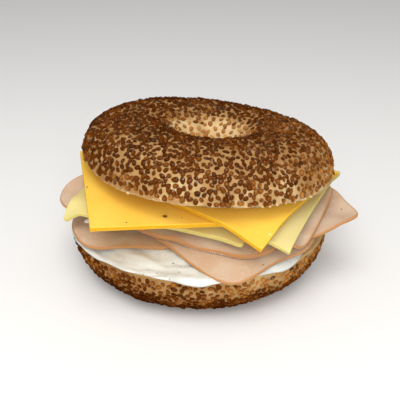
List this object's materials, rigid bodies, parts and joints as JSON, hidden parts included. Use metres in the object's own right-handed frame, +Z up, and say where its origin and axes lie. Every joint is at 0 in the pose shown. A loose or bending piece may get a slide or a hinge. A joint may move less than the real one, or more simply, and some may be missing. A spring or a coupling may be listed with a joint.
{
  "type": "filled seeded bagel",
  "caption": "Sesame bagel cut in two and filled with white spread, slices of roast turkey and slices of pale and yellow cheese, standing on its flat base.",
  "frame": {"origin": "under the middle of the bounding box, on the flat base that the bagel stands on", "axes": "+Z up through the hole of the ring, the side with the overhanging slices at -Y"},
  "size_m": [0.1268, 0.118, 0.0705],
  "materials": {
    "crust": "baked golden crust under toasted sesame seeds, softly glazed",
    "spread": "soft white spread, moist, with specks of pepper",
    "turkey": "moist pink meat with a thin roasted rim",
    "pale_cheese": "waxy",
    "yellow_cheese": "waxy"
  },
  "bodies": {
    "root": {"bun_bottom": "crust", "spread": "spread", "turkey_1": "turkey", "turkey_2": "turkey", "turkey_3": "turkey", "turkey_4": "turkey", "turkey_5": "turkey", "turkey_6": "turkey", "pale_cheese_1": "pale_cheese", "pale_cheese_2": "pale_cheese", "yellow_cheese_1": "yellow_cheese", "yellow_cheese_2": "yellow_cheese", "bun_top": "crust"}
  },
  "joints": []
}
